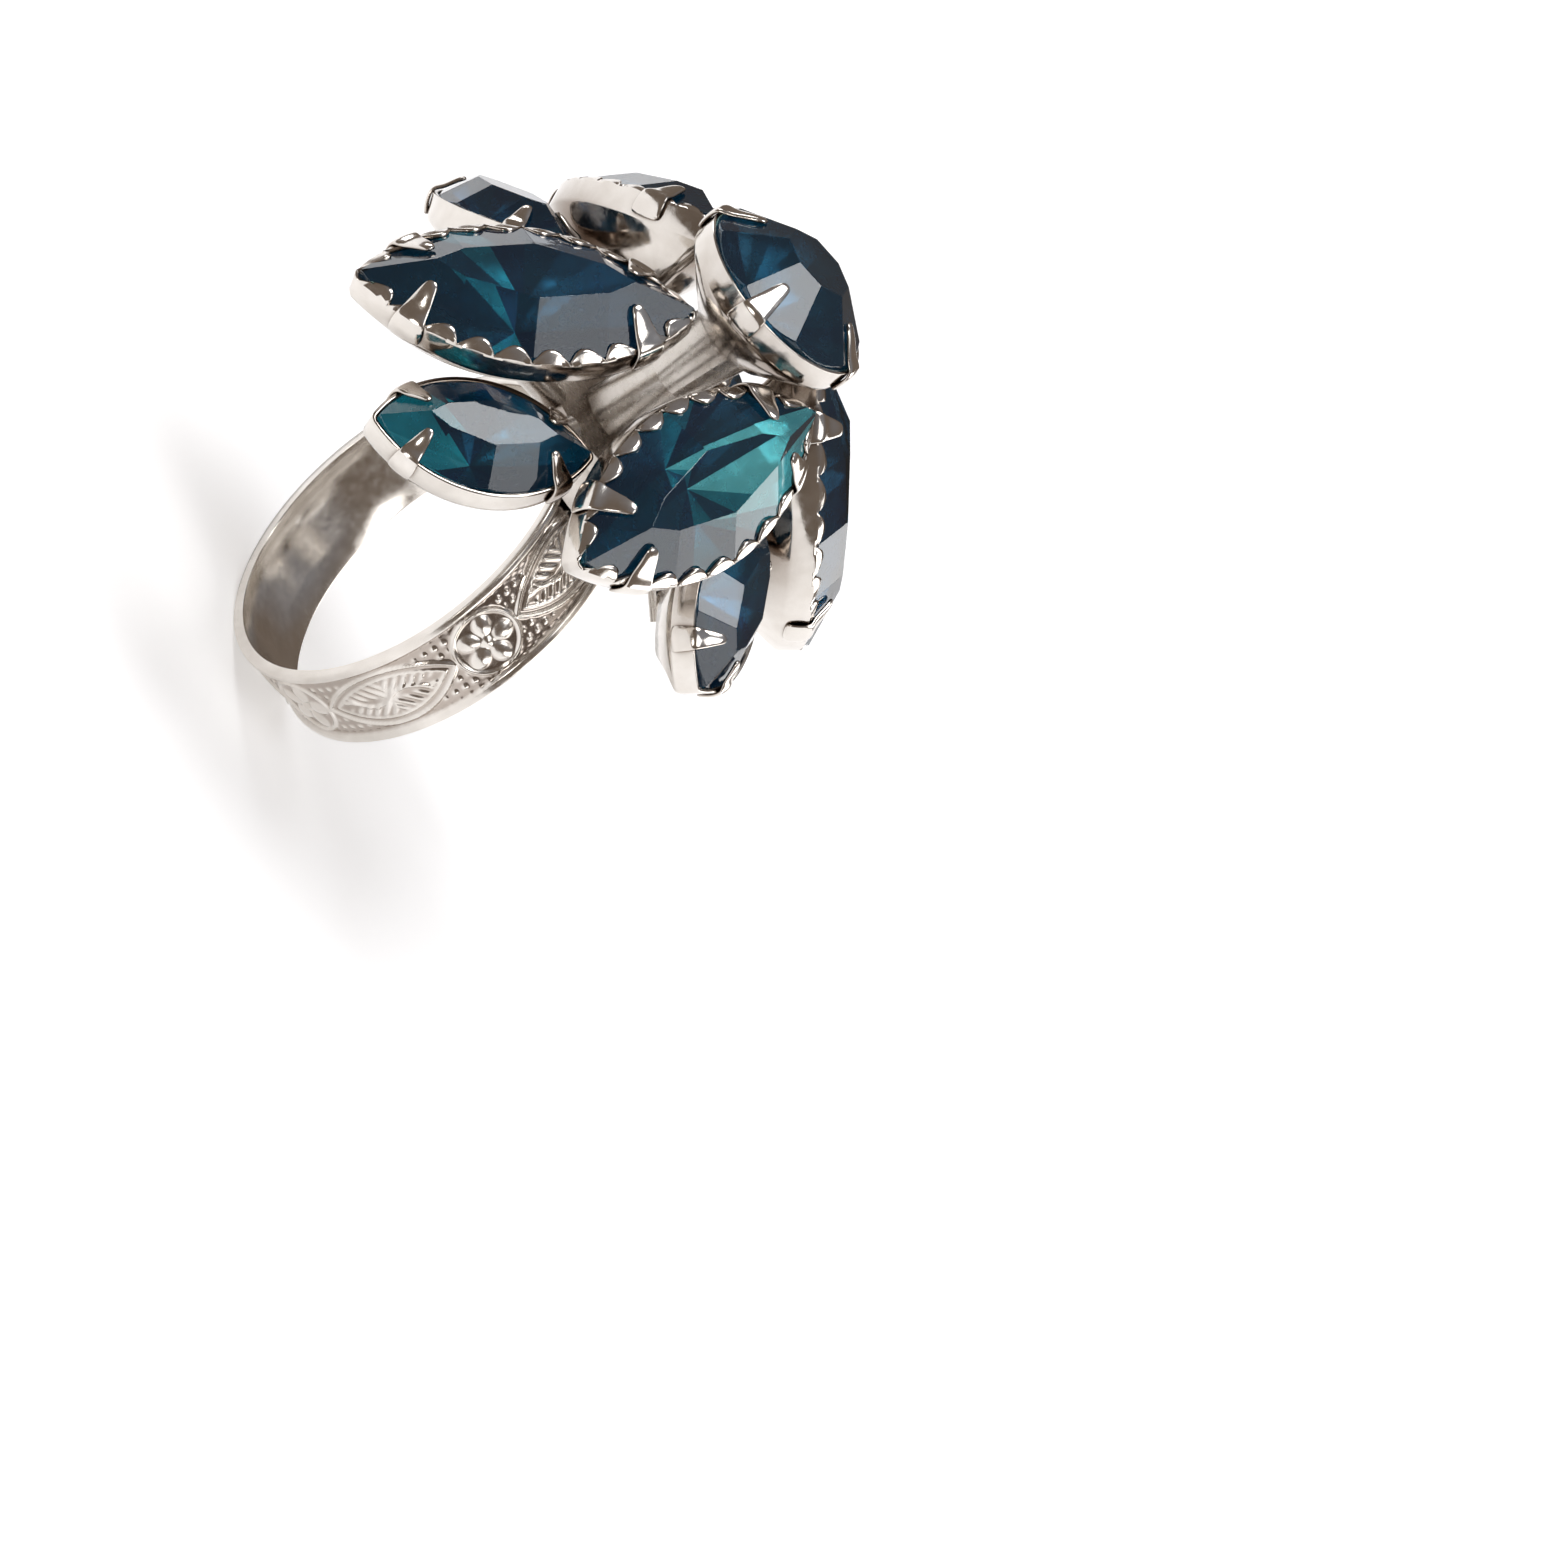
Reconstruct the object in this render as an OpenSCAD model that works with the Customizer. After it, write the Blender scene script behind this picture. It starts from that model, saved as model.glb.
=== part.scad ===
// Cocktail ring: a raised round stone on a post, above a pinwheel of four large
// and four small navette stones, on an embossed band.
// X runs across the finger, Y along it (fingertip at -Y) and Z up through the head.

/* [Band] */
// Inside diameter of the band, for a US size 7 finger
finger_d = 17.3; // [16:0.1:20]
// Width of the band along the finger
band_w = 4.4; // [3.4:0.1:6]
// Thickness of the band between its raised edges
band_t = 0.4; // [0.3:0.05:0.8]
// Height of the raised edges above the band
edge_h = 0.2; // [0.1:0.05:0.4]
// Width of each raised edge
edge_w = 0.4; // [0.2:0.05:0.7]

/* [Head] */
// Lean of the whole head towards the fingertip, in degrees
head_lean = 9; // [0:1:10]
// How far the star plate's hub stands out beyond the saddle under it
saddle_inset = 0.5; // [0.4:0.1:1]
// Height of the saddle between the band's top and the star plate
saddle_h = 1.35; // [1:0.05:2]
// Thickness of the star plate
plate_t = 0.7; // [0.5:0.1:1]
// Diameter of the star plate's hub
plate_d = 9; // [8:0.5:11]
// Thickness of the star plate's arms
arm_d = 1.3; // [0.8:0.1:1.6]
// Diameter of the stud under each cup
stud_d = 1.9; // [1.7:0.1:2.4]
// Length of the stud under each cup
stud_h = 0.5; // [0.3:0.1:0.8]

/* [Large settings] */
// Length of a large navette stone
large_l = 14.7; // [13:0.1:16]
// Width of a large navette stone
large_w = 7; // [6:0.1:7.6]
// Depth of a large cup below the girdle of its stone
large_depth = 2.8; // [2.6:0.1:3.4]
// Direction in which each large setting faces outwards, in degrees around the head
large_around = [356, 93, 191, 298]; // [0:1:359]
// Distance of each large stone's near end from the head's axis, in that direction
large_out = [4.2, 4.4, 4.3, 5.8]; // [3.8:0.1:6]
// Distance of each near end to the left of that direction
large_side = [3.3, 1.2, 1.9, 2]; // [1:0.1:3.4]
// Height of each near end above the star plate's underside
large_up = [9, 8.4, 8.8, 8.6]; // [8:0.1:10]
// Outward tilt of each large setting, in degrees
large_tilt = [35, 44, 40, 36]; // [30:1:46]
// Turn of each large setting about its own axis, in degrees
large_turn = [-24, -9, -15, -16]; // [-30:1:0]

/* [Small settings] */
// Length of a small navette stone
small_l = 9.7; // [8.6:0.1:10.6]
// Width of a small navette stone
small_w = 5.3; // [4.5:0.1:5.6]
// Depth of a small cup below the girdle of its stone
small_depth = 2.3; // [2:0.1:2.6]
// Direction in which each small setting faces outwards, in degrees around the head
small_around = [45, 136, 225, 312]; // [0:1:359]
// Distance of each small stone's near end from the head's axis, in that direction
small_out = [6.6, 7.2, 7.1, 9.1]; // [6:0.1:10]
// Distance of each near end to the left of that direction
small_side = [3.2, 2.8, 2.3, 3.9]; // [2:0.1:4.2]
// Height of each near end above the star plate's underside
small_up = [2.4, 2.9, 3.4, 2.4]; // [1.4:0.1:3.8]
// Outward tilt of each small setting, in degrees
small_tilt = [30, 36, 39, 31]; // [28:1:42]
// Turn of each small setting about its own axis, in degrees
small_turn = [-42, -35, -29, -27]; // [-46:1:-20]

/* [Centre setting] */
// Diameter of the round centre stone
centre_d = 8.6; // [8:0.1:9.2]
// Height of the centre stone's girdle above the star plate's underside
centre_up = 10.4; // [9.8:0.1:12]
// Further lean of the centre setting towards the fingertip, in degrees
centre_lean = 4; // [0:1:6]
// Depth of the centre cup below the girdle of its stone
centre_depth = 3; // [2.6:0.1:3.4]
// Diameter of the centre cup's floor
centre_floor_d = 4.4; // [3.8:0.1:5]
// Diameter of the centre post at its foot
post_d = 3.6; // [3:0.1:4.4]
// Diameter of the centre post at its neck
neck_d = 2.6; // [2:0.1:3]

/* [Sheet metal] */
// Thickness of the cup walls
wall = 0.25; // [0.2:0.05:0.35]
// Width of the ledge inside a cup that a stone rests on
ledge = 0.12; // [0.08:0.02:0.2]
// Width of a claw
claw_w = 1.1; // [0.8:0.1:1.3]
// Thickness of a claw
claw_t = 0.3; // [0.2:0.05:0.4]

/* [Hidden] */
$fn = 96;
finger_r = finger_d / 2;
sheet_r = finger_r + band_t;
band_r = sheet_r + edge_h;
plate_z = band_r + saddle_h;
// Stone proportions, as shares of a stone's half width
girdle_t = 0.4;
crown_rise = 0.48;
table_inset = 0.56;
keel_inset = 0.93;
// Clearance between a stone's lowest point and the floor of its cup
floor_gap = 0.2;
// A cup narrows by this much on each side from its shoulder to its floor
cup_taper = 1.5;
shoulder = 0.7;
// Places of the claws along a navette, as a share of its half length
claw_at = 0.68;
// Turn of the centre cup's four claws around it, in degrees
centre_claw_turn = 60;
// How far a claw reaches over the crown, as a share of the crown's height
claw_reach = 0.75;
// Number of facets along each side of a navette, and around the round stone
side_facets = 6;
round_facets = 16;
eps = 0.01;
far = 60;

large_cups = [for (i = [1:4]) str("large_cup_", i)];
large_stones = [for (i = [1:4]) str("large_stone_", i)];
small_cups = [for (i = [1:4]) str("small_cup_", i)];
small_stones = [for (i = [1:4]) str("small_stone_", i)];

metal = [0.80, 0.79, 0.77];
glass = [0.04, 0.20, 0.27];

// Radius of the two arcs that bound a navette of length l and width w
function arc_r(l, w) = (l * l + w * w) / (4 * w);
// Distance of each arc's centre from the navette's long axis
function arc_off(l, w) = arc_r(l, w) - w / 2;
// Outline of a navette with its edge moved in by g: n chords along each side
function navette(l, w, g, n) =
    let (r = arc_r(l, w) - g, d = arc_off(l, w), a = acos(d / r))
    [for (i = [0:2 * n - 1])
        let (t = -a + 2 * a * (i % n) / n, s = i < n ? 1 : -1)
        [s * r * sin(t), s * (r * cos(t) - d)]];
function disc(r, n) = [for (i = [0:n - 1]) r * [cos(-360 * i / n), sin(-360 * i / n)]];
function crown_h(w) = crown_rise * w / 2;

// Solid through a stack of outlines, each given as [height, outline]
module loft(stack) {
    n = len(stack[0][1]);
    m = len(stack);
    points = [for (s = stack) for (p = s[1]) [p[0], p[1], s[0]]];
    sides = [for (k = [0:m - 2]) for (i = [0:n - 1])
        let (j = (i + 1) % n, a = k * n)
        for (f = [[a + i, a + n + i, a + n + j], [a + i, a + n + j, a + j]]) f];
    bottom = [for (i = [0:n - 1]) i];
    top = [for (i = [n - 1:-1:0]) (m - 1) * n + i];
    polyhedron(points, concat([bottom, top], sides));
}

// Solid navette with curved sides, moved in by g0 at height z0 and by g1 at height z1
module navette_cone(l, w, z0, g0, z1, g1) {
    r = arc_r(l, w);
    d = arc_off(l, w);
    intersection_for (s = [-1, 1])
        translate([0, s * d, z0]) cylinder(r1 = r - g0, r2 = r - g1, h = z1 - z0);
}

// Faceted navette stone, resting on the ledge of its cup at height 0
module navette_stone(l, w, depth) {
    h = w / 2;
    loft([
        [wall + floor_gap - depth, navette(l, w, keel_inset * h, side_facets)],
        [0, navette(l, w, ledge, side_facets)],
        [0, navette(l, w, 0, side_facets)],
        [girdle_t, navette(l, w, 0, side_facets)],
        [girdle_t + crown_h(w), navette(l, w, table_inset * h, side_facets)]
    ]);
}

// Outside of a navette cup, with the stud under it
module navette_body(l, w, depth) {
    navette_cone(l, w, -shoulder, -wall, girdle_t, -wall);
    navette_cone(l, w, -depth, cup_taper - wall, -shoulder, -wall);
    translate([0, 0, -depth - stud_h]) cylinder(d = stud_d, h = stud_h + wall);
}

// Pressed navette cup with four claws bent over the crown
module navette_cup(l, w, depth) {
    rise = claw_reach * crown_h(w);
    bend = claw_reach * table_inset * w / 2;
    claw_x = claw_at * l / 2;
    bend_z = girdle_t + claw_t / 2;
    difference() {
        union() {
            navette_body(l, w, depth);
            intersection() {
                union() {
                    navette_cone(l, w, girdle_t - eps, -wall, bend_z, -wall);
                    navette_cone(l, w, bend_z, -wall, bend_z + rise, bend - wall);
                }
                for (x = [-claw_x, claw_x])
                    translate([x, 0, 0]) cube([claw_w, far, far], center = true);
            }
        }
        navette_cone(l, w, 0, 0, girdle_t, 0);
        navette_cone(l, w, girdle_t - eps, 0, girdle_t + crown_h(w), table_inset * w / 2);
        navette_cone(l, w, wall - depth, cup_taper + ledge, eps, ledge);
    }
}

// Places the pieces of the head on its leaning axis
module on_head() {
    rotate([head_lean, 0, 0]) children();
}

module at_large(i) {
    on_head() rotate([0, 0, large_around[i]])
        translate([large_out[i], large_side[i], plate_z + large_up[i]])
        rotate([0, large_tilt[i], 0]) rotate([0, 0, large_turn[i]])
        translate([large_l / 2, 0, 0]) children();
}

module at_small(i) {
    on_head() rotate([0, 0, small_around[i]])
        translate([small_out[i], small_side[i], plate_z + small_up[i]])
        rotate([0, small_tilt[i], 0]) rotate([0, 0, small_turn[i]])
        translate([small_l / 2, 0, 0]) children();
}

module at_centre() {
    on_head() translate([0, 0, plate_z + centre_up]) rotate([centre_lean, 0, 0]) children();
}

module band() {
    color(metal) rotate([90, 0, 0]) difference() {
        union() {
            cylinder(r = sheet_r, h = band_w, center = true);
            for (s = [-1, 1]) translate([0, 0, s * (band_w - edge_w) / 2])
                cylinder(r = band_r, h = edge_w, center = true);
        }
        cylinder(r = finger_r, h = far, center = true);
    }
}

// Round post from the finger hole's middle up to the star plate
module saddle_post() {
    on_head() cylinder(d = plate_d - 2 * saddle_inset, h = plate_z);
}

module saddle() {
    color(metal) difference() {
        saddle_post();
        rotate([90, 0, 0]) cylinder(r = band_r, h = far, center = true);
    }
}

// Foot of the stud under a navette of length l, seen from its near end at near
function stud_foot(near, tilt, turn, l, drop) =
    let (x = cos(turn) * l / 2, y = sin(turn) * l / 2)
    near + [x * cos(tilt) - drop * sin(tilt), y, -x * sin(tilt) - drop * cos(tilt)];

// Round arm from the hub of the star plate to the foot of a stud
module arm(around, foot) {
    heading = atan2(foot[1], foot[0]);
    start = [plate_d / 2 - saddle_inset / 2, plate_t / 2];
    run = [norm([foot[0], foot[1]]), foot[2]] - start;
    on_head() rotate([0, 0, around + heading]) translate([start[0], 0, plate_z + start[1]])
        rotate([0, atan2(run[0], run[1]), 0]) cylinder(d = arm_d, h = norm(run) + arm_d / 2);
}

module large_arm(i) {
    near = [large_out[i], large_side[i], large_up[i]];
    arm(large_around[i], stud_foot(near, large_tilt[i], large_turn[i], large_l, large_depth + stud_h));
}

module small_arm(i) {
    near = [small_out[i], small_side[i], small_up[i]];
    arm(small_around[i], stud_foot(near, small_tilt[i], small_turn[i], small_l, small_depth + stud_h));
}

module star_plate() {
    color(metal) difference() {
        union() {
            on_head() translate([0, 0, plate_z]) cylinder(d = plate_d, h = plate_t);
            for (i = [0:3]) {
                large_arm(i);
                small_arm(i);
            }
        }
        saddle_post();
        for (i = [0:3]) {
            at_large(i) navette_body(large_l, large_w, large_depth);
            at_small(i) navette_body(small_l, small_w, small_depth);
        }
    }
}

// Outside of the centre cup
module centre_body() {
    rim_r = centre_d / 2 + wall;
    translate([0, 0, -shoulder]) cylinder(r = rim_r, h = shoulder + girdle_t);
    translate([0, 0, -centre_depth])
        cylinder(r1 = centre_floor_d / 2, r2 = rim_r, h = centre_depth - shoulder);
}

module centre_post() {
    rise = centre_up - centre_depth - plate_t;
    color(metal) difference() {
        on_head() translate([0, 0, plate_z + plate_t]) {
            cylinder(d1 = post_d, d2 = neck_d, h = rise / 2);
            translate([0, 0, rise / 2]) cylinder(d1 = neck_d, d2 = post_d, h = rise / 2 + wall);
        }
        at_centre() centre_body();
    }
}

module centre_cup() {
    r = centre_d / 2;
    rise = claw_reach * crown_h(centre_d);
    bend = claw_reach * table_inset * r;
    bend_z = girdle_t + claw_t / 2;
    color(metal) at_centre() difference() {
        union() {
            centre_body();
            intersection() {
                union() {
                    translate([0, 0, girdle_t - eps]) cylinder(r = r + wall, h = claw_t / 2 + eps);
                    translate([0, 0, bend_z]) cylinder(r1 = r + wall, r2 = r + wall - bend, h = rise);
                }
                for (turn = [0, 90]) rotate([0, 0, centre_claw_turn + turn])
                    cube([far, claw_w, far], center = true);
            }
        }
        cylinder(r = r, h = girdle_t);
        translate([0, 0, girdle_t - eps])
            cylinder(r1 = r, r2 = r * (1 - table_inset), h = crown_h(centre_d) + eps);
        translate([0, 0, wall - centre_depth])
            cylinder(r1 = centre_floor_d / 2 - wall, r2 = r - ledge, h = centre_depth - wall + eps);
    }
}

module centre_stone() {
    r = centre_d / 2;
    color(glass) at_centre() loft([
        [wall + floor_gap - centre_depth, disc(r * (1 - keel_inset), round_facets)],
        [0, disc(r - ledge, round_facets)],
        [0, disc(r, round_facets)],
        [girdle_t, disc(r, round_facets)],
        [girdle_t + crown_h(centre_d), disc(r * (1 - table_inset), round_facets)]
    ]);
}

module large_cup(i) { color(metal) at_large(i) navette_cup(large_l, large_w, large_depth); }
module large_stone(i) { color(glass) at_large(i) navette_stone(large_l, large_w, large_depth); }
module small_cup(i) { color(metal) at_small(i) navette_cup(small_l, small_w, small_depth); }
module small_stone(i) { color(glass) at_small(i) navette_stone(small_l, small_w, small_depth); }

band();
saddle();
star_plate();
centre_post();
centre_cup();
centre_stone();
for (i = [0:3]) {
    large_cup(i);
    large_stone(i);
    small_cup(i);
    small_stone(i);
}
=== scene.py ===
import math

import bmesh
import bpy
import numpy as np
from mathutils import Matrix, Vector


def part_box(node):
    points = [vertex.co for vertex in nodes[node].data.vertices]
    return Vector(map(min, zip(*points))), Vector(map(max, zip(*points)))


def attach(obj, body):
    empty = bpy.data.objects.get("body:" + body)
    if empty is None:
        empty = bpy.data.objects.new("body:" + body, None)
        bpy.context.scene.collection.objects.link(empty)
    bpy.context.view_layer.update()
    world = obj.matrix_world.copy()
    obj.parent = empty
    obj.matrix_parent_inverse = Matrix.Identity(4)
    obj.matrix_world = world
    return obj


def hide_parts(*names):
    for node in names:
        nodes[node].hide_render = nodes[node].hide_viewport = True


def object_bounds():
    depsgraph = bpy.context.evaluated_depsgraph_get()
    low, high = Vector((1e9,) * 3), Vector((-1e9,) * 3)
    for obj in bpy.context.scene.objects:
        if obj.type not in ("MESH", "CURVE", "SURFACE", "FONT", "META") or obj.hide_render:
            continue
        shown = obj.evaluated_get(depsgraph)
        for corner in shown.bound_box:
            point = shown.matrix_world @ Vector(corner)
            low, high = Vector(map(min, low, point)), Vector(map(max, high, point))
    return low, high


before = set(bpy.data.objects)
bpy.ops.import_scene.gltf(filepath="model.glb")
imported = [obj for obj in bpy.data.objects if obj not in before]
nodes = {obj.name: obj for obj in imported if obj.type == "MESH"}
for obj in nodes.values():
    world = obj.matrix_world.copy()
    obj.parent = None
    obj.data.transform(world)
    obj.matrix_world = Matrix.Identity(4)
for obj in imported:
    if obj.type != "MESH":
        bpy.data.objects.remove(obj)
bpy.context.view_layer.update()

MM = 0.001
SETTINGS = [("large", i) for i in range(1, 5)] + [("small", i) for i in range(1, 5)]

# Settings, in millimetres
WALL = 0.25
GIRDLE = 0.4
SHOULDER = 0.7
CUP_TAPER = 1.5
FLOOR_GAP = 0.2
CENTRE_FLOOR_D = 4.4
STUD_R = 0.95
STUD_H = 0.5
TIP_R = 0.45
CLAW_THICK = 0.15
TEETH_PER_SIDE = 10
TOOTH_H = 0.40
TOOTH_LEAN = 0.56

# Place of a navette's claws, as a share of its half length, and turn of the centre cup's claws
CLAW_AT = 0.70
CENTRE_CLAW_TURN = 60

# Gem cut, as shares of a navette's half length (long, break) and half width (rise, wide)
CROWN_RISE = 0.48
TABLE_LONG = 0.60
TABLE_WIDE = 0.42
TABLE_BREAK = 0.71
CROWN_BREAK = 0.61
PAVILION_STOPS = (0.0, 0.3, 0.55, 0.8, 1.0)
# Borders between the pavilion facets' middles, as shares of a navette's half length
FLASH_BORDERS = (0.19, 0.37, 0.525)
# Rounding of a stone's facet edges, in millimetres
WORN_EDGE = 0.05
# How steeply the crown climbs inwards
CROWN_SLOPE = CROWN_RISE / (1 - TABLE_WIDE)


# ---------------------------------------------------------------- materials

def new_material(name):
    mat = bpy.data.materials.new(name)
    mat.use_nodes = True
    tree = mat.node_tree
    return mat, tree, tree.nodes["Principled BSDF"]


def noise(tree, scale, detail=3.0):
    coord = tree.nodes.new("ShaderNodeTexCoord")
    tex = tree.nodes.new("ShaderNodeTexNoise")
    tex.inputs["Scale"].default_value = scale
    tex.inputs["Detail"].default_value = detail
    tree.links.new(coord.outputs["Object"], tex.inputs["Vector"])
    return tex.outputs["Fac"]


def spread(tree, value, low, high):
    """Maps a noise value from its usual middle range to low..high."""
    node = tree.nodes.new("ShaderNodeMapRange")
    node.inputs["From Min"].default_value = 0.3
    node.inputs["From Max"].default_value = 0.7
    node.inputs["To Min"].default_value = low
    node.inputs["To Max"].default_value = high
    tree.links.new(value, node.inputs["Value"])
    return node.outputs["Result"]


def mixed(tree, fac, colour_a, colour_b):
    """Mixes two colours, each a plain colour or another node's output."""
    node = tree.nodes.new("ShaderNodeMix")
    node.data_type = "RGBA"
    for socket, colour in ((node.inputs[6], colour_a), (node.inputs[7], colour_b)):
        if isinstance(colour, tuple):
            socket.default_value = (*colour, 1)
        else:
            tree.links.new(colour, socket)
    tree.links.new(fac, node.inputs[0])
    return node.outputs[2]


def bump(tree, bsdf, height, strength, distance):
    node = tree.nodes.new("ShaderNodeBump")
    node.inputs["Strength"].default_value = strength
    node.inputs["Distance"].default_value = distance
    tree.links.new(height, node.inputs["Height"])
    tree.links.new(node.outputs["Normal"], bsdf.inputs["Normal"])


def plated_metal(name, painted_shade, rough, cavity=False):
    """Bright silver-tone plating over sheet, turned to a warm brown painted shade in its recesses:
    those of the mesh's own recess values where cavity is set, and otherwise wherever surfaces crowd,
    found by ambient occlusion."""
    mat, tree, bsdf = new_material(name)
    bsdf.inputs["Metallic"].default_value = 1.0
    bright = mixed(tree, spread(tree, noise(tree, 900), 0, 1), (0.77, 0.735, 0.69), (0.68, 0.64, 0.59))
    if cavity:
        attr = tree.nodes.new("ShaderNodeAttribute")
        attr.attribute_name = "recess"
        shade = attr.outputs["Fac"]
    else:
        occlusion = tree.nodes.new("ShaderNodeAmbientOcclusion")
        occlusion.inputs["Distance"].default_value = 5 * MM
        occlusion.samples = 8
        flip = tree.nodes.new("ShaderNodeMapRange")
        flip.inputs["From Min"].default_value = 0.95
        flip.inputs["From Max"].default_value = 0.35
        tree.links.new(occlusion.outputs["AO"], flip.inputs["Value"])
        shade = flip.outputs["Result"]
    # Painted shade: the base colour turns to the warm brown shade colour in recesses and where
    # surfaces crowd
    tree.links.new(mixed(tree, shade, bright, painted_shade), bsdf.inputs["Base Color"])
    tree.links.new(spread(tree, noise(tree, 2500, 5), rough, rough + 0.12), bsdf.inputs["Roughness"])
    bump(tree, bsdf, noise(tree, 1800, 4), 0.12, 0.05 * MM)
    return mat


def teal_glass():
    mat, tree, bsdf = new_material("teal_glass")
    bsdf.inputs["Transmission Weight"].default_value = 1.0
    bsdf.inputs["IOR"].default_value = 1.56
    tint = mixed(tree, spread(tree, noise(tree, 250), 0, 1), (0.48, 0.84, 0.88), (0.42, 0.80, 0.85))
    tree.links.new(tint, bsdf.inputs["Base Color"])
    tree.links.new(spread(tree, noise(tree, 3000, 6), 0.0, 0.03), bsdf.inputs["Roughness"])
    bump(tree, bsdf, noise(tree, 1400, 2), 0.03, 0.03 * MM)
    return mat


def foil():
    """Foiled back of a stone: each facet has its own painted flash of reflected light, from navy to
    bright cyan, which partly glows as painted light."""
    mat, tree, bsdf = new_material("stone_foil")
    bsdf.inputs["Metallic"].default_value = 1.0
    attr = tree.nodes.new("ShaderNodeAttribute")
    attr.attribute_name = "painted_flash"
    flash_with_noise = tree.nodes.new("ShaderNodeMath")
    flash_with_noise.operation = "MULTIPLY_ADD"
    flash_with_noise.inputs[1].default_value = 0.9
    tree.links.new(attr.outputs["Fac"], flash_with_noise.inputs[0])
    tree.links.new(spread(tree, noise(tree, 420), 0.0, 0.12), flash_with_noise.inputs[2])
    # Painted flash: dark facets stay navy, lit ones turn bright cyan
    ramp = tree.nodes.new("ShaderNodeValToRGB")
    stops = (
        (0.0, (0.008, 0.024, 0.060)),
        (0.3, (0.008, 0.050, 0.085)),
        (0.6, (0.025, 0.30, 0.37)),
        (1.0, (0.45, 1.0, 1.0)),
    )
    while len(ramp.color_ramp.elements) < len(stops):
        ramp.color_ramp.elements.new(0.5)
    for element, (place, colour) in zip(ramp.color_ramp.elements, stops):
        element.position = place
        element.color = (*colour, 1)
    tree.links.new(flash_with_noise.outputs[0], ramp.inputs["Fac"])
    tree.links.new(ramp.outputs["Color"], bsdf.inputs["Base Color"])
    # Painted glow: the flash colour also shines as emission
    tree.links.new(ramp.outputs["Color"], bsdf.inputs["Emission Color"])
    bsdf.inputs["Emission Strength"].default_value = 0.30
    tree.links.new(spread(tree, noise(tree, 1500, 5), 0.18, 0.32), bsdf.inputs["Roughness"])
    return mat


def pale_floor():
    mat, tree, bsdf = new_material("pale_floor")
    tint = mixed(tree, spread(tree, noise(tree, 6), 0, 1), (0.93, 0.93, 0.94), (0.90, 0.90, 0.91))
    tree.links.new(tint, bsdf.inputs["Base Color"])
    bsdf.inputs["Roughness"].default_value = 0.6
    bsdf.inputs["Emission Color"].default_value = (1.0, 1.0, 1.0, 1)
    bsdf.inputs["Emission Strength"].default_value = 0.38
    return mat


# ---------------------------------------------------------------- places from the frame

def stone_frame(node):
    """Matrix of a stone: x along it and outwards, z along its normal, origin in the girdle's
    lower plane. Also gives its length, width and depth below that plane, in millimetres."""
    co = np.unique(np.round([tuple(v.co / MM) for v in nodes[node].data.vertices], 3), axis=0)
    mid = co.mean(0)
    _, axes = np.linalg.eigh(np.cov((co - mid).T))
    n, v, u = axes.T
    if node == "centre_stone":
        u = np.array([1.0, 0, 0]) - n[0] * n
        u /= np.linalg.norm(u)
    n = n if n[2] > 0 else -n
    u = u if u[2] < 0 or node == "centre_stone" else -u
    v = np.cross(n, u)
    local = (co - mid) @ np.stack([u, v, n], 1)
    low, high = local.min(0), local.max(0)
    rim = local[local[:, 0] > high[0] - 0.05][:, 2].min()
    middle = np.array([(low[0] + high[0]) / 2, (low[1] + high[1]) / 2, rim])
    centre = mid + np.stack([u, v, n], 1) @ middle
    m = Matrix([[u[k], v[k], n[k], centre[k]] for k in range(3)] + [[0, 0, 0, 1]])
    return m, high[0] - low[0], high[1] - low[1], rim - low[2]


def piece(name, bm, place, mats, smooth_angle=None):
    """A finished mesh object from bm, whose coordinates are millimetres in place's frame."""
    bmesh.ops.recalc_face_normals(bm, faces=bm.faces)
    bm.transform(Matrix.Scale(MM, 4) @ place)
    mesh = bpy.data.meshes.new(name)
    bm.to_mesh(mesh)
    bm.free()
    for mat in mats:
        mesh.materials.append(mat)
    obj = bpy.data.objects.new(name, mesh)
    bpy.context.scene.collection.objects.link(obj)
    if smooth_angle is not None:
        mesh.shade_smooth()
        mesh.set_sharp_from_angle(angle=math.radians(smooth_angle))
    return obj


# ---------------------------------------------------------------- outlines

def navette_outline(l, w, g, tip_r=0.0, side_n=4, tip_n=0):
    """Points round a navette, moved in by g, with tips rounded to tip_r."""
    big = (l * l + w * w) / (4 * w)
    off = big - w / 2
    r = big - g - tip_r
    a = math.acos(min(1.0, off / r))
    side = [(-a + 2 * a * i / side_n) for i in range(side_n + (1 if tip_n else 0))]
    end = [a + (math.pi - 2 * a) * i / tip_n for i in range(1, tip_n)] if tip_n else []
    pts = []
    for s in (1, -1):
        for t in side:
            nx, ny = s * math.sin(t), s * math.cos(t)
            pts.append((r * nx + tip_r * nx, r * ny - s * off + tip_r * ny))
        for t in end:
            nx, ny = s * math.sin(t), s * math.cos(t)
            pts.append((s * r * math.sin(a) + tip_r * nx, tip_r * ny))
    return np.array(pts)


def round_outline(r, g, n):
    """Points round a circle, moved in by g."""
    t = -2 * math.pi * np.arange(n) / n
    return np.stack([np.cos(t), np.sin(t)], 1) * (r - g)


# ---------------------------------------------------------------- stones

def cut(bm, point, normal):
    """Cuts away what lies outside a plane and closes the cut."""
    geom = bm.verts[:] + bm.edges[:] + bm.faces[:]
    out = bmesh.ops.bisect_plane(
        bm, geom=geom, plane_co=point, plane_no=normal, clear_outer=True, dist=1e-5
    )
    edges = [e for e in out["geom_cut"] if isinstance(e, bmesh.types.BMEdge)]
    if len(edges) > 2:
        bmesh.ops.contextual_create(bm, geom=edges)


def plane_through(p, q, s, inside):
    """Point and normal of the plane through three points, facing away from inside."""
    p, q, s = Vector(p), Vector(q), Vector(s)
    n = (q - p).cross(s - p).normalized()
    if n.dot(Vector(inside) - p) > 0:
        n = -n
    return p, n


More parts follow.
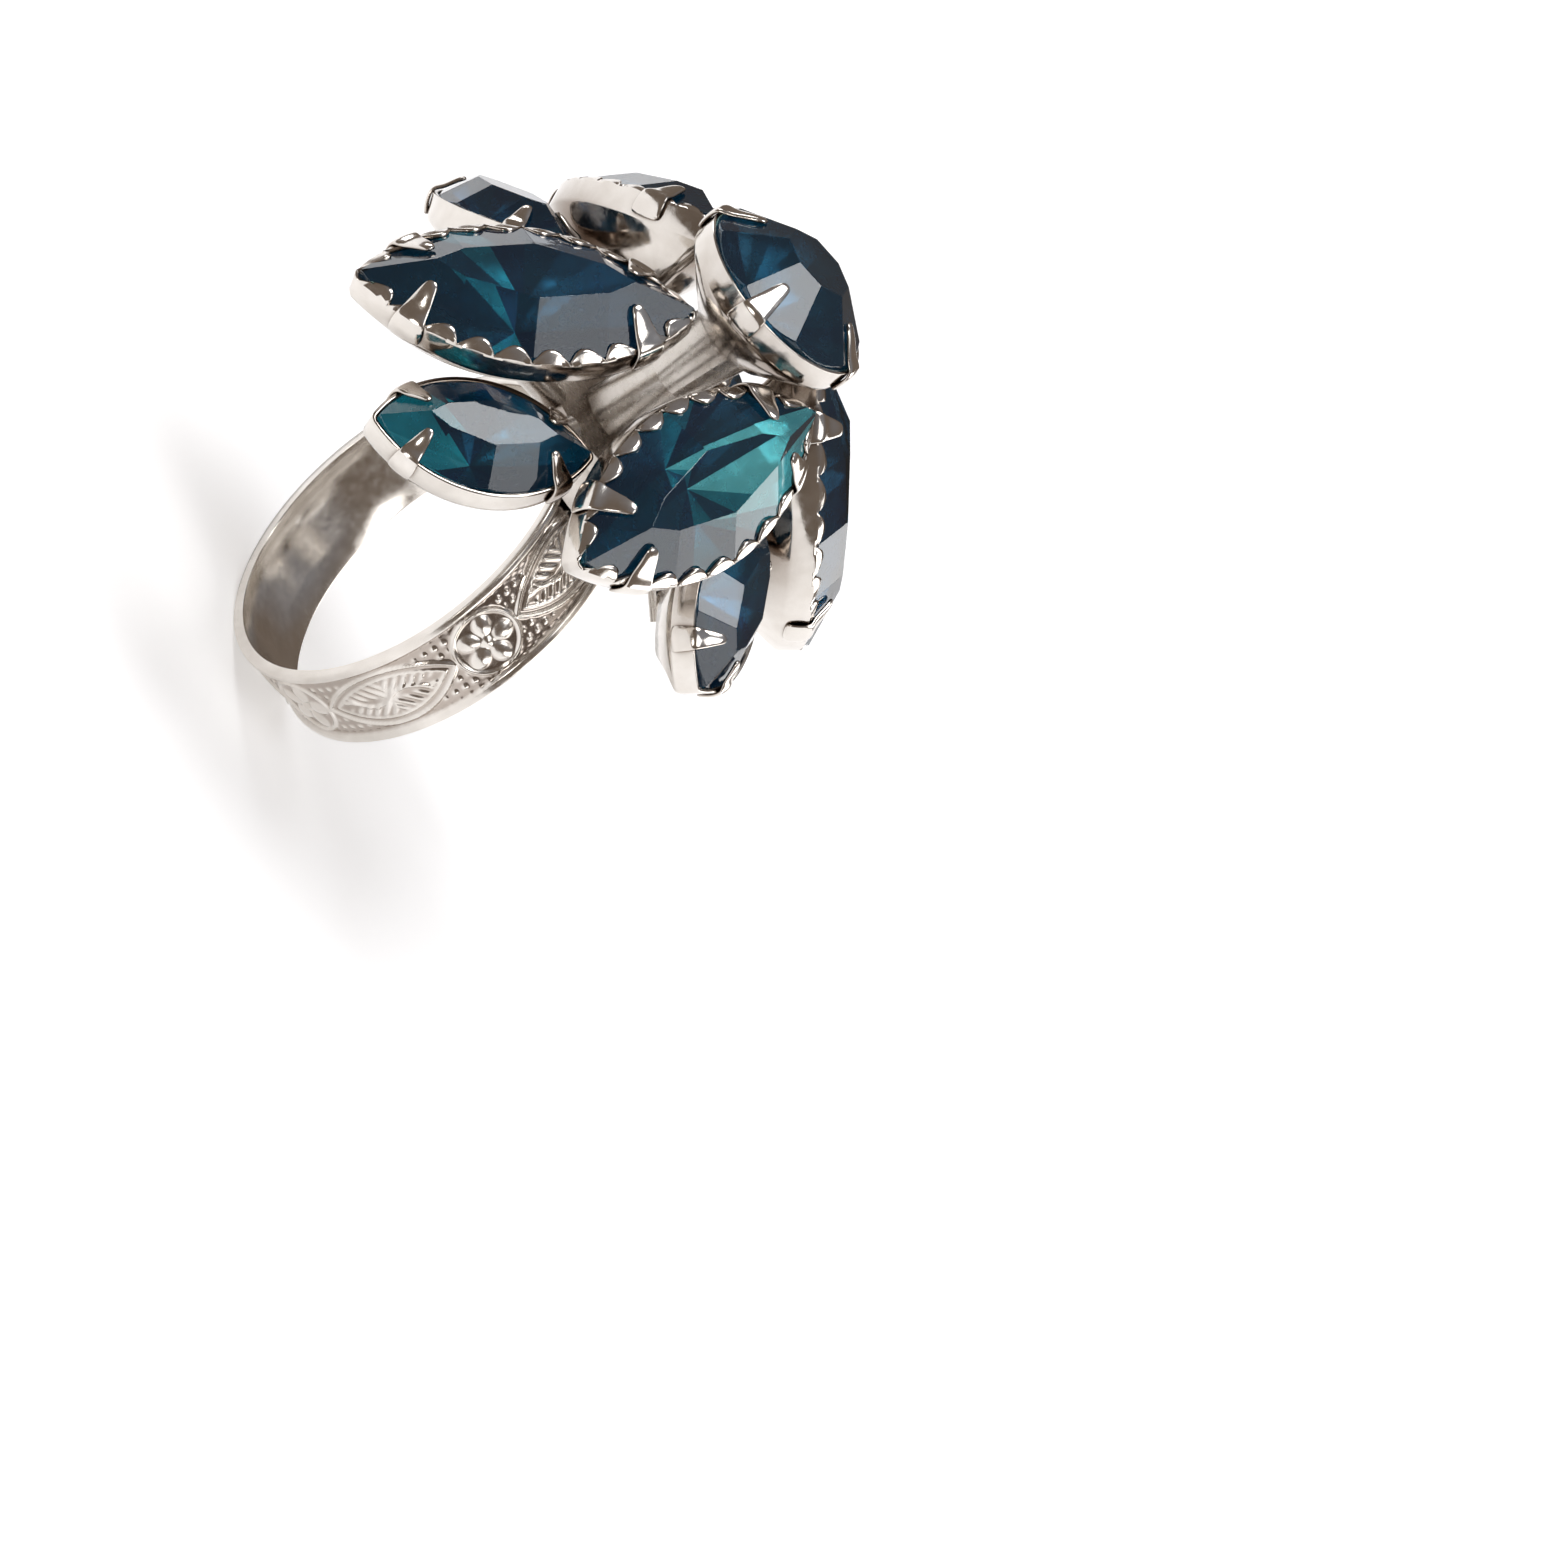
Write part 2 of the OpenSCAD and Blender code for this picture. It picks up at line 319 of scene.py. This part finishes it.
def blank(outline, low, high):
    """Uncut stone: the outline raised from low to high."""
    bm = bmesh.new()
    rings = [[bm.verts.new((x, y, z)) for x, y in outline] for z in (low, high)]
    n = len(outline)
    for i in range(n):
        j = (i + 1) % n
        bm.faces.new((rings[0][i], rings[0][j], rings[1][j], rings[1][i]))
    bm.faces.new(rings[0][::-1])
    bm.faces.new(rings[1])
    bmesh.ops.recalc_face_normals(bm, faces=bm.faces)
    return bm


def navette_side_y(l, w, x):
    """Half width of a navette at a place along it."""
    big = (l * l + w * w) / (4 * w)
    return math.sqrt(big * big - x * x) - (big - w / 2)


def cut_navette(l, w, deep):
    """Brilliant-style navette: eight-sided table, eight crown facets, and a pavilion whose
    facets meet at a point under the middle."""
    hl, hw = l / 2, w / 2
    top = GIRDLE + CROWN_RISE * hw
    outline = navette_outline(l, w, 0, 0, 40)
    bm = blank(outline, -deep, top)
    tl, tw = TABLE_LONG * hl, TABLE_WIDE * hw
    tb = TABLE_BREAK * tl
    tby = navette_side_y(2 * tl, 2 * tw, tb)
    inside = (0, 0, 0)
    for sx in (-1, 1):
        for sy in (-1, 1):
            mid_x = CROWN_BREAK * hl / 2
            low = (sx * mid_x, sy * navette_side_y(l, w, mid_x), GIRDLE)
            cut(bm, *plane_through((0, sy * tw, top), (sx * tb, sy * tby, top), low, inside))
            end_x = (1 + CROWN_BREAK) * hl / 2
            low = (sx * end_x, sy * navette_side_y(l, w, end_x), GIRDLE)
            cut(bm, *plane_through((sx * tb, sy * tby, top), (sx * tl, 0, top), low, inside))
            for a, b in zip(PAVILION_STOPS, PAVILION_STOPS[1:]):
                p = (sx * a * hl, sy * navette_side_y(l, w, a * hl), 0)
                q = (sx * b * hl, sy * navette_side_y(l, w, b * hl), 0)
                cut(bm, *plane_through(p, q, (0, 0, -deep), inside))
    return bm


def cut_round(d, deep):
    """Round stone: octagonal table, eight crown facets, and a pavilion of sixteen facets that
    meet at a point."""
    r = d / 2
    top = GIRDLE + CROWN_RISE * r
    outline = round_outline(r, 0, 96)
    bm = blank(outline[::-1], -deep, top)
    table = TABLE_WIDE * r * 1.02
    inside = (0, 0, 0)
    for i in range(8):
        a, b = math.radians(45 * i), math.radians(45 * (i + 1))
        mid = (a + b) / 2
        edge = [(table * math.cos(t), table * math.sin(t), top) for t in (a, b)]
        low = (r * math.cos(mid), r * math.sin(mid), GIRDLE + 0.1)
        cut(bm, *plane_through(edge[0], edge[1], low, inside))
        for t in (a, mid):
            p = (r * math.cos(t), r * math.sin(t), 0)
            q = (r * math.cos(t + math.pi / 8), r * math.sin(t + math.pi / 8), 0)
            cut(bm, *plane_through(p, q, (0, 0, -deep), inside))
    return bm


def finish_stone(name, bm, place, glass, foil_mat, length, bright):
    """A stone with foil on its pavilion. bright gives the painted flash of chosen pavilion facets, by
    side along, side across and step; the others get a seeded random painted flash."""
    obj = piece(name, bm, place, [glass, foil_mat])
    into = place.inverted()
    turn = into.to_3x3()
    rng = np.random.default_rng(sum(map(ord, name)))
    spare = {}
    painted_flash = []
    for face in obj.data.polygons:
        n = turn @ face.normal
        face.material_index = 1 if n.z < -0.2 else 0
        face.use_smooth = False
        mid = into @ (face.center / MM)
        step_at = sum(abs(mid.x) > share * length / 2 for share in FLASH_BORDERS)
        key = (1 if mid.x > 0 else -1, 1 if mid.y > 0 else -1, step_at)
        if key not in spare:
            spare[key] = rng.uniform(0.0, 0.36) ** 1.3
        # Painted flash of reflected light for this facet
        painted_flash.append(bright.get(key, spare[key]))
    layer = obj.data.attributes.new("painted_flash", "FLOAT", "FACE")
    layer.data.foreach_set("value", np.array(painted_flash, dtype=np.float32))
    bevel = obj.modifiers.new("worn_edges", "BEVEL")
    bevel.width = WORN_EDGE * MM
    bevel.segments = 2
    bevel.limit_method = "ANGLE"
    bevel.angle_limit = math.radians(7)
    return obj


# ---------------------------------------------------------------- cups

def sheet_rows(bm, rows):
    """Quads between rows of points, each row a closed ring of the same length."""
    made = [[bm.verts.new(p) for p in row] for row in rows]
    n = len(rows[0])
    for a, b in zip(made, made[1:]):
        for i in range(n):
            j = (i + 1) % n
            bm.faces.new((a[i], a[j], b[j], b[i]))
    return made


def cup_sheet(outline, depth, taper, teeth):
    """The cup's sheet from its domed floor to its rim. Each step of the profile is a height and
    how far the sheet lies in from the stone's edge, and teeth gives each point's tooth height
    from 0 to 1."""
    rim = GIRDLE - 0.12
    profile = [
        (-depth - 0.08, taper + 0.95),
        (-depth - 0.05, taper + 0.55),
        (-depth, taper + 0.20),
        (-depth + 0.07, taper + 0.03),
        (-depth * 0.62, taper * 0.52),
        (-SHOULDER - 0.12, 0.06),
        (-SHOULDER + 0.08, 0.0),
        (-0.1, 0.0),
        (rim, 0.0),
    ]
    rows = []
    for z, g in profile:
        rows.append([(x, y, z) for x, y in outline(g - WALL)])
    for p in (0.25, 0.5, 0.75, 1.0):
        lean = max(0.0, p - 0.2) / 0.8
        out = outline(-WALL)
        inn = outline(-WALL + TOOTH_LEAN)
        row = []
        for k in range(len(out)):
            h = teeth[k] * lean
            x, y = out[k] * (1 - h) + inn[k] * h
            row.append((x, y, rim + p * 0.15 + teeth[k] * (TOOTH_H * p ** 0.7)))
        rows.append(row)
    bm = bmesh.new()
    made = sheet_rows(bm, rows)
    bm.faces.new(made[0][::-1])
    return bm


def claw(bm, base, out, half_width, slope, reach):
    """One claw: a strip that rises outside the wall and folds in over the crown. Each step of
    its path is a place outwards from the stone's edge, a height and a share of its width."""
    base, out = Vector((*base, 0)), Vector((*out, 0))
    side = Vector((-out.y, out.x, 0))
    up = Vector((0, 0, 1))
    over = 0.10
    path = [
        (WALL + 0.02, -SHOULDER, 1.0),
        (WALL + 0.10, -0.35, 1.0),
        (WALL + 0.14, 0.1, 0.97),
        (WALL + 0.06, GIRDLE + 0.2, 0.88),
        (-0.12, GIRDLE + 0.2 + over, 0.76),
        (-reach * 0.5, GIRDLE + slope * reach * 0.5 + over + 0.14, 0.56),
        (-reach * 0.85, GIRDLE + slope * reach * 0.85 + over + 0.08, 0.40),
        (-reach, GIRDLE + slope * reach + over, 0.22),
    ]
    rings = []
    for k, (o, z, share) in enumerate(path):
        a = Vector((path[max(k - 1, 0)][0], 0, path[max(k - 1, 0)][1]))
        b = Vector((path[min(k + 1, len(path) - 1)][0], 0, path[min(k + 1, len(path) - 1)][1]))
        run = (b - a).normalized()
        face_n = out * run.z - up * run.x
        mid = base + out * o + up * z
        hw = half_width * share
        t = CLAW_THICK * (0.6 if k == len(path) - 1 else 1.0)
        ring = []
        for q in (-1.0, -0.6, 0.0, 0.6, 1.0):
            ring.append(mid + side * hw * q + face_n * (t * (1 - 0.45 * q * q)))
        for q in (1.0, 0.6, 0.0, -0.6, -1.0):
            ring.append(mid + side * hw * q - face_n * (t * 0.6))
        rings.append(ring)
    made = sheet_rows(bm, rings)
    bm.faces.new(made[0][::-1])
    bm.faces.new(made[-1])


def stud(bm, depth):
    """Round stud under a cup, with a fillet of solder where it meets the floor."""
    foot = -depth - STUD_H
    turns = np.linspace(0, 2 * math.pi, 24, endpoint=False)
    profile = [
        (0.01, foot),
        (STUD_R - 0.1, foot),
        (STUD_R, foot + 0.08),
        (STUD_R, -depth - 0.12),
        (STUD_R + 0.12, -depth + 0.05),
    ]
    sheet_rows(bm, [[(r * math.cos(t), r * math.sin(t), z) for t in turns] for r, z in profile])


def finish_cup(name, bm, claws, depth, place, metal):
    """A cup as two pieces: its sheet, and its claws with the stud."""
    sheet = piece(name, bm, place, [metal], smooth_angle=40)
    solid = sheet.modifiers.new("sheet", "SOLIDIFY")
    solid.thickness = WALL * 0.85 * MM
    solid.offset = -1
    extra = bmesh.new()
    for args in claws:
        claw(extra, *args)
    stud(extra, depth)
    details = piece(name + "_claws", extra, place, [metal], smooth_angle=50)
    sub = details.modifiers.new("round", "SUBSURF")
    sub.levels = sub.render_levels = 2
    return sheet, details


def tooth_row(side_n, tip_n):
    """Tooth height for each outline point: rounded lobes along the sides, none over the tips."""
    row = []
    for _ in range(2):
        for i in range(side_n + 1):
            x = (i / side_n * TEETH_PER_SIDE) % 1.0 - 0.5
            row.append(1 - abs(2 * x) ** 2.2)
        row += [0.0] * (tip_n - 1)
    return row


def navette_cup(name, stone, toothed, metal):
    place, l, w, deep = stone_frame(stone)
    depth = deep + WALL + FLOOR_GAP
    side_n, tip_n = (160, 12) if toothed else (64, 12)

    def outline(g):
        return navette_outline(l, w, g, TIP_R, side_n, tip_n)

    teeth = tooth_row(side_n, tip_n) if toothed else [0.0] * (2 * (side_n + tip_n))
    bm = cup_sheet(outline, depth, CUP_TAPER, teeth)
    half, reach = (0.80, 1.35) if toothed else (0.60, 1.05)
    claws = []
    big = (l * l + w * w) / (4 * w)
    x = CLAW_AT * l / 2
    for sx in (-1, 1):
        for sy in (-1, 1):
            y = navette_side_y(l, w, x)
            n = Vector((sx * x, sy * (y + big - w / 2))).normalized()
            claws.append(((sx * x, sy * y), (n.x, n.y), half, CROWN_SLOPE, reach))
    return finish_cup(name, bm, claws, depth, place, metal)


def centre_cup(metal):
    place, d, _, deep = stone_frame("centre_stone")
    depth = deep + WALL + FLOOR_GAP
    n = 120

    def outline(g):
        return round_outline(d / 2, g, n)

    taper = (d - CENTRE_FLOOR_D) / 2 + WALL
    bm = cup_sheet(outline, depth, taper, [0.0] * n)
    half, reach = 0.75, 1.5
    claws = []
    for k in range(4):
        t = math.radians(CENTRE_CLAW_TURN + 90 * k)
        out = (math.cos(t), math.sin(t))
        claws.append(((out[0] * d / 2, out[1] * d / 2), out, half, CROWN_SLOPE, reach))
    return finish_cup("centre_setting", bm, claws, depth, place, metal)


# ---------------------------------------------------------------- embossed band

# Angles between one flower and the next and of the first flower, in degrees from the top
PATTERN_STEP = 66
FLOWER_AT = 70
# Sizes of the ornament, in millimetres
MEDALLION_R = 1.55
PETALS = 5
OVAL_HALF_L = 3.5
OVAL_HALF_W = 1.5
EDGE_RISE = 0.2
EDGE_W = 0.42


def ridge(distance, width):
    """Rounded line of height 1 along distance 0."""
    return np.exp(-(distance / width) ** 2)


def step(edge, width, value):
    """Soft step from 0 to 1 where value passes edge."""
    return 1 / (1 + np.exp(-(value - edge) / width))


def relief(theta, y, radius, half):
    """Height of the embossed ornament, in millimetres, at an angle in degrees and a place across."""
    period = math.radians(PATTERN_STEP) * radius
    q = (theta - FLOWER_AT) / PATTERN_STEP
    dx = (q - np.round(q)) * period
    ex = (q - np.floor(q) - 0.5) * period
    ay = np.abs(y)
    r = np.hypot(dx, y)
    turn = np.arctan2(y, dx)
    h = 0.13 * ridge(r - MEDALLION_R, 0.10)
    around = (np.mod(turn * PETALS / (2 * math.pi), 1) - 0.5) * 2 * math.pi / PETALS
    from_petal = np.hypot(r * np.cos(around) - 0.86, 1.25 * r * np.sin(around))
    h += 0.13 * step(0, 0.05, 0.50 - from_petal) * (0.75 + 0.45 * ridge(from_petal, 0.30))
    h += 0.17 * ridge(r, 0.26)
    long_r = (OVAL_HALF_L ** 2 + OVAL_HALF_W ** 2) / (2 * OVAL_HALF_W)
    away = np.sqrt(ex ** 2 + (ay + long_r - OVAL_HALF_W) ** 2) - long_r
    in_oval = step(0, 0.08, OVAL_HALF_L + 0.1 - np.abs(ex))
    h += in_oval * (0.14 * ridge(away, 0.10) + 0.07 * ridge(away + 0.38, 0.08))
    inner = step(0, 0.08, -0.55 - away) * in_oval
    stem = y - 0.28 * np.sin(2 * math.pi * ex / 3.1)
    h += inner * 0.11 * ridge(stem, 0.10)
    leaf = np.cos(2 * math.pi * (np.abs(ex) * 0.95 - ay * 0.9)) ** 2
    h += inner * 0.09 * leaf * step(0.18, 0.05, ay)
    h += 0.10 * ridge(np.hypot(ex, y * 0.8), 0.42)
    outside = step(0, 0.06, away - 0.22) * step(0, 0.06, r - 1.78)
    dots_along = 0.5 + 0.5 * np.cos(2 * math.pi * dx / 0.52)
    dots_across = 0.5 + 0.5 * np.cos(2 * math.pi * (ay - 1.25) / 0.5)
    h += outside * 0.08 * (dots_along * dots_across) ** 1.5
    edge = half - EDGE_W
    field = step(0, 0.03, edge - 0.1 - ay)
    return h * field + EDGE_RISE * step(edge, 0.035, ay) - 0.03 * ridge(ay - edge + 0.12, 0.07)


def embossed_band(metal):
    """The band's sheet with its ornament outside, as one closed ring of rows of points."""
    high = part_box("band")[1]
    half = high.y / MM
    outer = high.z / MM
    inner = min(math.hypot(v.co.x, v.co.z) for v in nodes["band"].data.vertices) / MM
    sheet = outer - EDGE_RISE
    turns, across = ((1400, 76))
    theta = np.linspace(0, 360, turns, endpoint=False)
    y = np.linspace(-half, half, across)
    grid_t, grid_y = np.meshgrid(theta, y)
    h = relief(grid_t, grid_y, sheet, half)
    rounding = 0.07 * np.clip((np.abs(grid_y) - (half - 0.09)) / 0.09, 0, 1) ** 2
    radius = sheet + h - rounding
    rows = [(grid_y[k], radius[k], h[k]) for k in range(across)]
    inside = [half - 0.02, half - 0.1, half * 0.3, -half * 0.3, -half + 0.1, -half + 0.02]
    for k, yy in enumerate(inside):
        r = inner + (0.05 if k in (0, len(inside) - 1) else 0.0)
        rows.append((np.full(turns, yy), np.full(turns, r), np.full(turns, 0.12)))
    rad = np.radians(theta)
    co, recess = [], []
    for yy, rr, hh in rows:
        co.append(np.stack([rr * np.sin(rad), yy, rr * np.cos(rad)], 1))
        recess.append(hh)
    co = np.concatenate(co) * MM
    # Painted shade: the band's colour darkens where its relief lies low
    recess = 0.55 * np.clip(1.0 - np.concatenate(recess) / 0.05, 0, 1)
    n_rows = len(rows)
    i = np.arange(turns)
    j = (i + 1) % turns
    faces = []
    for a in range(n_rows):
        b = (a + 1) % n_rows
        faces.append(np.stack([a * turns + i, a * turns + j, b * turns + j, b * turns + i], 1))
    mesh = bpy.data.meshes.new("embossed_band")
    mesh.from_pydata(co.tolist(), [], np.concatenate(faces).tolist())
    mesh.materials.append(metal)
    layer = mesh.attributes.new("recess", "FLOAT", "POINT")
    layer.data.foreach_set("value", recess.astype(np.float32))
    mesh.shade_smooth()
    mesh.set_sharp_from_angle(angle=math.radians(55))
    mesh.update()
    obj = bpy.data.objects.new("embossed_band", mesh)
    bpy.context.scene.collection.objects.link(obj)
    return obj


# ---------------------------------------------------------------- build

# Painted flash of chosen pavilion facets, by side along (1 outwards), side across and step from the
# middle
PAINTED_FLASH = {
    ("large", 4): {
        (1, -1, 0): 0.0, (1, -1, 1): 0.35, (1, -1, 2): 1.0, (1, -1, 3): 0.2,
        (1, 1, 0): 0.6, (1, 1, 1): 0.1, (1, 1, 2): 0.35, (-1, -1, 0): 0.1,
    },
    ("large", 1): {
        (-1, 1, 0): 0.2, (-1, 1, 1): 0.45, (-1, 1, 2): 0.85, (-1, 1, 3): 0.75, (-1, -1, 0): 0.35,
        (1, 1, 0): 0.35, (1, -1, 0): 0.05, (1, 1, 1): 0.05,
    },
    ("small", 4): {
        (1, 1, 2): 0.15, (1, 1, 3): 0.6, (1, -1, 3): 0.55, (1, -1, 0): 0.1, (-1, -1, 0): 0.0,
    },
}

# The second colour of each plating is painted shade for its recesses and crowded places
band_metal = plated_metal("band_plating", (0.22, 0.15, 0.11), 0.14, cavity=True)
cup_metal = plated_metal("setting_plating", (0.19, 0.14, 0.105), 0.07)
plate_metal = plated_metal("plate_plating", (0.15, 0.11, 0.08), 0.2)
glass = teal_glass()
foil_back = foil()

band = embossed_band(band_metal)
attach(band, "root")
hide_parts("band")

for size, i in SETTINGS:
    stone_node, cup_node = f"{size}_stone_{i}", f"{size}_cup_{i}"
    place, l, w, deep = stone_frame(stone_node)
    bright = PAINTED_FLASH.get((size, i), {})
    gem = finish_stone(
        f"{size}_gem_{i}", cut_navette(l, w, deep), place, glass, foil_back, l, bright
    )
    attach(gem, "root")
    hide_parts(stone_node)
    for part in navette_cup(f"{size}_setting_{i}", stone_node, size == "large", cup_metal):
        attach(part, "root")
        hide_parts(cup_node)

place, d, _, deep = stone_frame("centre_stone")
gem = finish_stone("centre_gem", cut_round(d, deep), place, glass, foil_back, d, {})
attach(gem, "root")
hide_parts("centre_stone")
for part in centre_cup(cup_metal):
    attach(part, "root")
    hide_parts("centre_cup")

for name in ("saddle", "star_plate", "centre_post"):
    mesh = nodes[name].data
    mesh.materials.clear()
    mesh.materials.append(plate_metal)

# ---------------------------------------------------------------- stage, light and camera

# Radius of the floor and height at which the lights aim, in metres
FLOOR_R = 1.5
AIM_H = 0.012
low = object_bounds()[0]
bm = bmesh.new()
bmesh.ops.create_circle(bm, cap_ends=True, segments=96, radius=FLOOR_R)
floor_place = Matrix.Translation((0, 0, low.z / MM)) @ Matrix.Scale(1 / MM, 4)
floor = piece("floor", bm, floor_place, [pale_floor()])

# Studio surroundings: warm below and cool above in reflections, pale behind the object
world = bpy.data.worlds.new("studio")
bpy.context.scene.world = world
world.use_nodes = True
tree = world.node_tree
background = tree.nodes["Background"]
coord = tree.nodes.new("ShaderNodeTexCoord")
split = tree.nodes.new("ShaderNodeSeparateXYZ")
tree.links.new(coord.outputs["Generated"], split.inputs[0])
ramp = tree.nodes.new("ShaderNodeValToRGB")
ramp.color_ramp.elements[0].position = 0.5
ramp.color_ramp.elements[0].color = (0.17, 0.135, 0.11, 1)
ramp.color_ramp.elements[1].position = 1.0
ramp.color_ramp.elements[1].color = (0.24, 0.25, 0.28, 1)
tree.links.new(split.outputs["Z"], ramp.inputs["Fac"])
seen = tree.nodes.new("ShaderNodeLightPath")
tree.links.new(
    mixed(tree, seen.outputs["Is Camera Ray"], ramp.outputs["Color"], (0.93, 0.93, 0.94)),
    background.inputs["Color"],
)
background.inputs["Strength"].default_value = 1.0


def softbox(name, direction, distance, size, power, tint=(1, 1, 1)):
    """Rectangular soft light that stands in a direction from the object and faces it."""
    light = bpy.data.lights.new(name, "AREA")
    light.shape = "RECTANGLE"
    light.size, light.size_y = size
    light.energy = power
    light.color = tint
    obj = bpy.data.objects.new(name, light)
    bpy.context.scene.collection.objects.link(obj)
    towards = Vector(direction).normalized()
    obj.location = towards * distance + Vector((0, 0, AIM_H))
    obj.rotation_euler = towards.to_track_quat("Z", "Y").to_euler()


softbox("overhead", (-0.10, -0.25, 0.96), 2.5, (1.25, 1.30), 33)
softbox("side_top", (0.50, 0.15, 0.85), 2.5, (1.20, 1.10), 10)
softbox("hand_side", (0.10, 0.93, 0.28), 2.2, (3.4, 0.80), 23)
softbox("front", (0.75, -0.60, 0.20), 2.2, (0.30, 0.30), 3.0, (1.0, 0.98, 0.95))
softbox("far_side", (-0.95, -0.35, 0.30), 2.2, (0.40, 0.8), 5, (0.95, 0.97, 1.0))

# The camera is turned from the fingertip side, a little above, and rolled (degrees). It stands
# away from the finger hole's centre and aside of it (millimetres)
AZIMUTH, ELEVATION, ROLL = 54.3, 17.5, 63.0
DISTANCE, SHIFT_RIGHT, SHIFT_UP = 259.0, 15.7, -9.9
az, el, roll = (math.radians(v) for v in (AZIMUTH, ELEVATION, ROLL))
back = Vector((math.sin(az) * math.cos(el), -math.cos(az) * math.cos(el), math.sin(el)))
flat_right = Vector((math.cos(az), math.sin(az), 0))
flat_up = back.cross(flat_right)
right = flat_right * math.cos(roll) + flat_up * math.sin(roll)
up = back.cross(right)
spot = (right * SHIFT_RIGHT + up * SHIFT_UP + back * DISTANCE) * MM
camera_data = bpy.data.cameras.new("camera")
camera_data.lens = 132.8
camera_data.sensor_width = 36
camera_data.clip_start = 0.01
camera = bpy.data.objects.new("camera", camera_data)
bpy.context.scene.collection.objects.link(camera)
camera_rows = [[right[k], up[k], back[k], spot[k]] for k in range(3)]
camera.matrix_world = Matrix(camera_rows + [[0, 0, 0, 1]])
bpy.context.scene.camera = camera
bpy.context.scene.view_settings.view_transform = "Standard"
